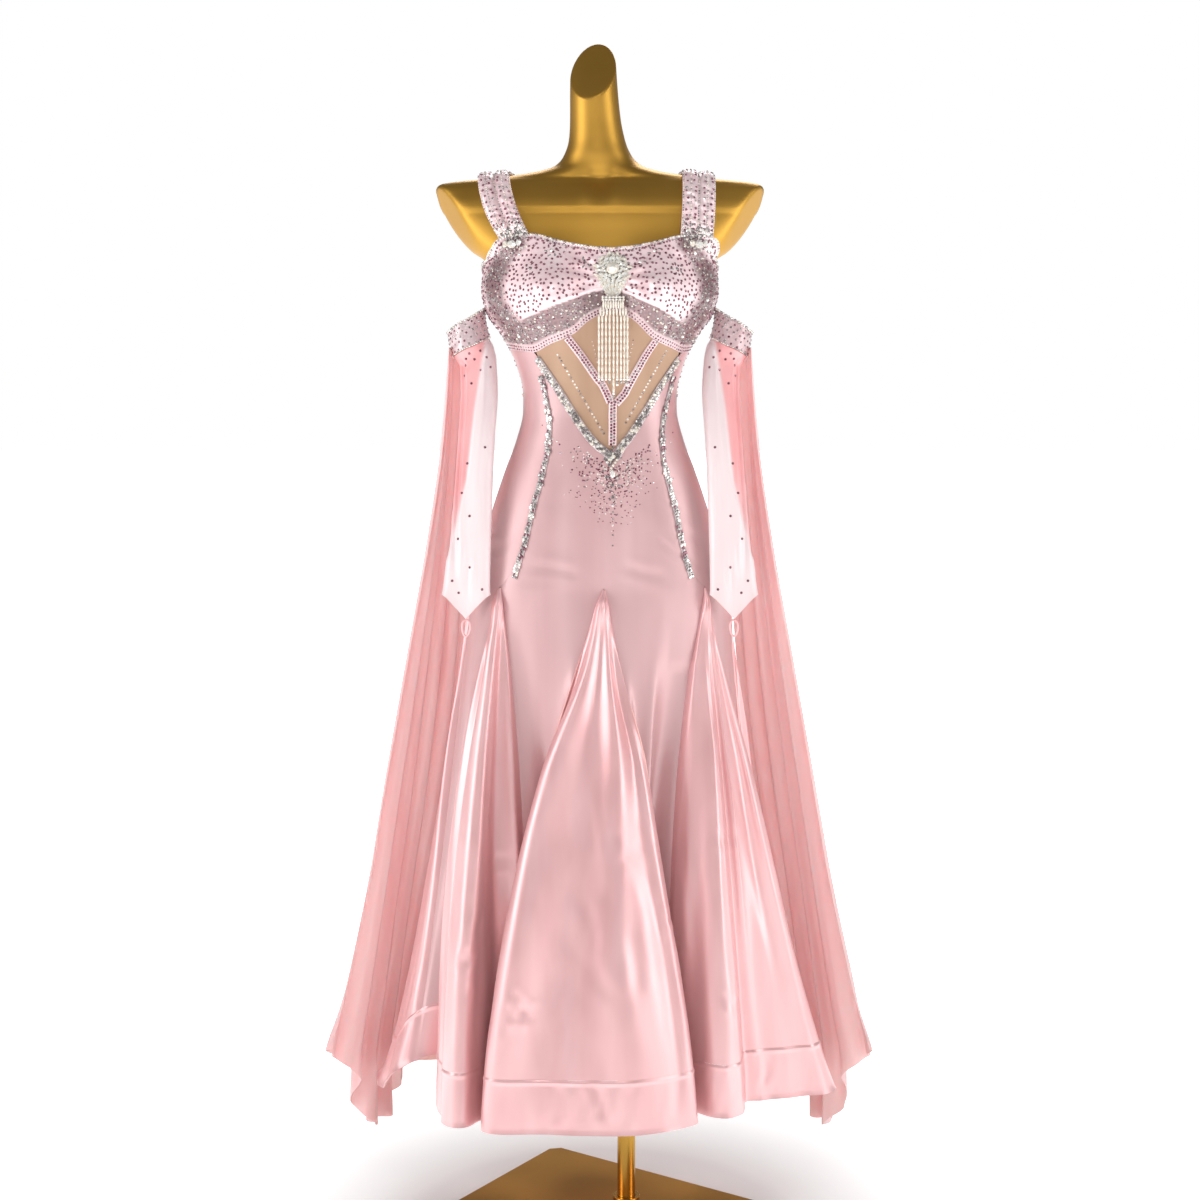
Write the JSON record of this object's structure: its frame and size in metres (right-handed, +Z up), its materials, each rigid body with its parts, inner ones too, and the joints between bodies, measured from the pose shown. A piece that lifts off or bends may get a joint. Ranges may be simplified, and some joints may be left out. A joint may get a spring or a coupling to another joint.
{
  "type": "ballroom dance dress on a dress form",
  "caption": "Long ballroom dance dress with fitted beaded bodice, mesh insert, godet skirt, detached sleeves and chiffon floats, worn on a limbless dress form on a pole and flat base.",
  "frame": {"origin": "on the floor under the dress's centre line, in the middle of the base plate's underside", "axes": "+Z up, the dress's front faces -Y, +X is the viewer's right and the wearer's left"},
  "size_m": [0.7538, 0.5575, 1.6259],
  "materials": {
    "gold": "satin gold, softly metallic",
    "plate": "polished brown-gold",
    "bust": "pink satin thickly set with small stones",
    "mesh": "nude stretch mesh, matte",
    "satin": "pale pink satin, soft sheen",
    "stones": "silver faceted stones",
    "beads": "silver and pearl beads",
    "chiffon": "coral chiffon, part see-through"
  },
  "bodies": {
    "root": {"base_plate": "plate", "bodice_back_l": "bust", "bodice_back_r": "bust", "brooch": "beads", "bust_l": "bust", "bust_r": "bust", "centre_back": "satin", "centre_front": "satin", "dress_form": "gold", "finger_loop_l": "satin", "finger_loop_r": "satin", "float_l": "chiffon", "float_r": "chiffon", "form_socket": "gold", "fringe": "beads", "gauntlet_l": "satin", "gauntlet_r": "satin", "godet_back": "satin", "godet_back_l": "satin", "godet_back_r": "satin", "godet_front": "satin", "godet_front_l": "satin", "godet_front_r": "satin", "godet_side_l": "satin", "godet_side_r": "satin", "hem_band_back": "satin", "hem_band_front": "satin", "insert_band_l": "bust", "insert_band_r": "bust", "insert_stem": "bust", "mesh_insert": "mesh", "pole": "gold", "pole_foot": "gold", "princess_trim_l": "stones", "princess_trim_r": "stones", "side_back_l": "satin", "side_back_r": "satin", "side_front_l": "satin", "side_front_r": "satin", "sleeve_band_l": "bust", "sleeve_band_r": "bust", "strap_jewel_l": "beads", "strap_jewel_r": "beads", "strap_l": "bust", "strap_r": "bust", "v_trim_l": "stones", "v_trim_r": "stones"}
  },
  "joints": []
}
